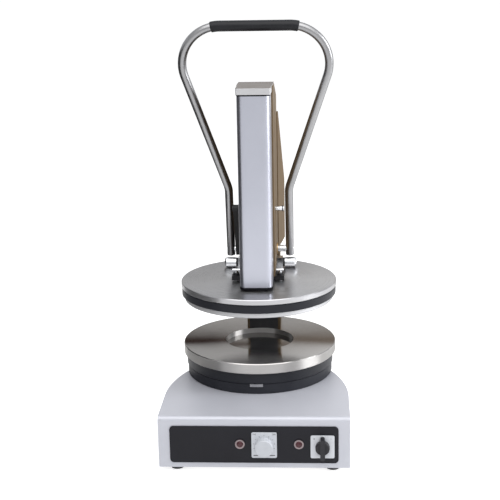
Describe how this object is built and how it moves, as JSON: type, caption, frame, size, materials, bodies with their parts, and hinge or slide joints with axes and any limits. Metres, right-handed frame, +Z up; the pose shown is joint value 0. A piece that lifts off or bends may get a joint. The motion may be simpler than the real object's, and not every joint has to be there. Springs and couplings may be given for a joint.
{
  "type": "pizza dough press",
  "caption": "Tabletop pizza dough press: a hoop handle turns a crank that drives a heated round plate down onto a lower plate on a housing with a control panel.",
  "frame": {"origin": "on the floor below the axis of the two round plates, in the middle of the footprint", "axes": "+Z up, -Y towards the operator, +X to the operator's right"},
  "size_m": [0.38, 0.6086, 0.8701],
  "materials": {
    "grey_paint": "satin silver-grey paint",
    "mast_paint": "satin light blue-grey paint",
    "sheet_steel": "plain rolled",
    "rubber": "matt",
    "black_plastic": "fine satin",
    "pale_plastic": "satin",
    "panel_film": "semi-gloss",
    "red_lens": "clear gloss",
    "insulator": "matt",
    "dark_paint": "satin charcoal paint",
    "heater_steel": "heat-stained",
    "turned_steel": "turned, concentric marks",
    "stainless": "brushed",
    "satin_stainless": "satin",
    "chrome": "polished",
    "bronze": "machined",
    "black_steel": "black stove paint",
    "grip_rubber": "satin charcoal"
  },
  "bodies": {
    "frame": {"base_housing": "grey_paint", "base_floor": "sheet_steel", "rubber_feet": "rubber", "base_stiffener": "sheet_steel", "cable_gland": "black_plastic", "gland_seal": "rubber", "terminal_block": "pale_plastic", "control_panel": "panel_film", "thermostat_body": "sheet_steel", "thermostat_plate": "pale_plastic", "switch_body": "black_plastic", "switch_plate": "pale_plastic", "lamp_rings": "chrome", "lamp_lenses": "red_lens", "insulating_ring": "insulator", "skirt": "dark_paint", "skirt_clip": "chrome", "lower_heater": "heater_steel", "lower_plate": "turned_steel", "plate_studs": "sheet_steel", "column_flange": "stainless", "column_bolts": "chrome", "left_cheek": "stainless", "right_cheek": "stainless", "cheek_ties": "sheet_steel", "column_spine": "stainless", "rear_cover": "stainless", "mast_cover": "mast_paint", "mast_cap": "mast_paint", "mast_back": "stainless", "top_bridge": "sheet_steel", "lower_guide": "sheet_steel", "upper_guide": "sheet_steel", "guide_bushes": "bronze", "pivot_bushes": "bronze", "strut_cylinder": "black_steel"},
    "handle": {"hoop": "satin_stainless", "grip": "grip_rubber", "pivot_shaft": "chrome", "crank_arm": "black_steel", "crank_pin": "chrome", "pin_caps": "black_plastic"},
    "ram": {"strut_rod": "chrome", "ram_rod": "chrome", "yoke": "black_steel", "guide_rod": "chrome", "ram_foot": "black_steel", "upper_cover_disc": "turned_steel", "upper_band": "dark_paint", "pressing_disc": "chrome", "upper_heater": "heater_steel", "hinge_lugs": "chrome", "hinge_shaft": "chrome", "hinge_washers": "rubber", "hinge_nuts": "chrome", "tee_lock_nuts": "black_plastic"},
    "left_tee": {"left_tee_screw": "chrome"},
    "right_tee": {"right_tee_screw": "chrome"},
    "thermostat_dial": {"thermostat_knob": "pale_plastic"},
    "switch_handle": {"switch_knob": "black_plastic"}
  },
  "joints": [
    {"name": "ram_slide", "type": "slide", "parent": "frame", "child": "ram", "axis": [0, 0, -1], "range_m": [0, 0.095], "stiffness_N_per_m": 800, "springref_m": -0.34},
    {"name": "handle_swing", "type": "hinge", "parent": "frame", "child": "handle", "pos_m": [0, 0.09, 0.365], "axis": [1, 0, 0], "range_deg": [0, 53.61]},
    {"name": "left_tee_turn", "type": "hinge", "parent": "ram", "child": "left_tee", "pos_m": [-0.047, -0.02, 0.334], "axis": [0, 0, 1], "range_deg": [-170, 170]},
    {"name": "right_tee_turn", "type": "hinge", "parent": "ram", "child": "right_tee", "pos_m": [0.047, -0.02, 0.334], "axis": [0, 0, 1], "range_deg": [-170, 170]},
    {"name": "thermostat_turn", "type": "hinge", "parent": "frame", "child": "thermostat_dial", "pos_m": [0.0205, -0.29, 0.0593], "axis": [0, 1, 0], "range_deg": [0, 270]},
    {"name": "switch_turn", "type": "hinge", "parent": "frame", "child": "switch_handle", "pos_m": [0.1355, -0.29, 0.0563], "axis": [0, 1, 0], "range_deg": [0, 90]}
  ],
  "couplings": [
    {"joint": "handle_swing", "follows": "ram_slide", "rad_per_m": 9.8466}
  ]
}
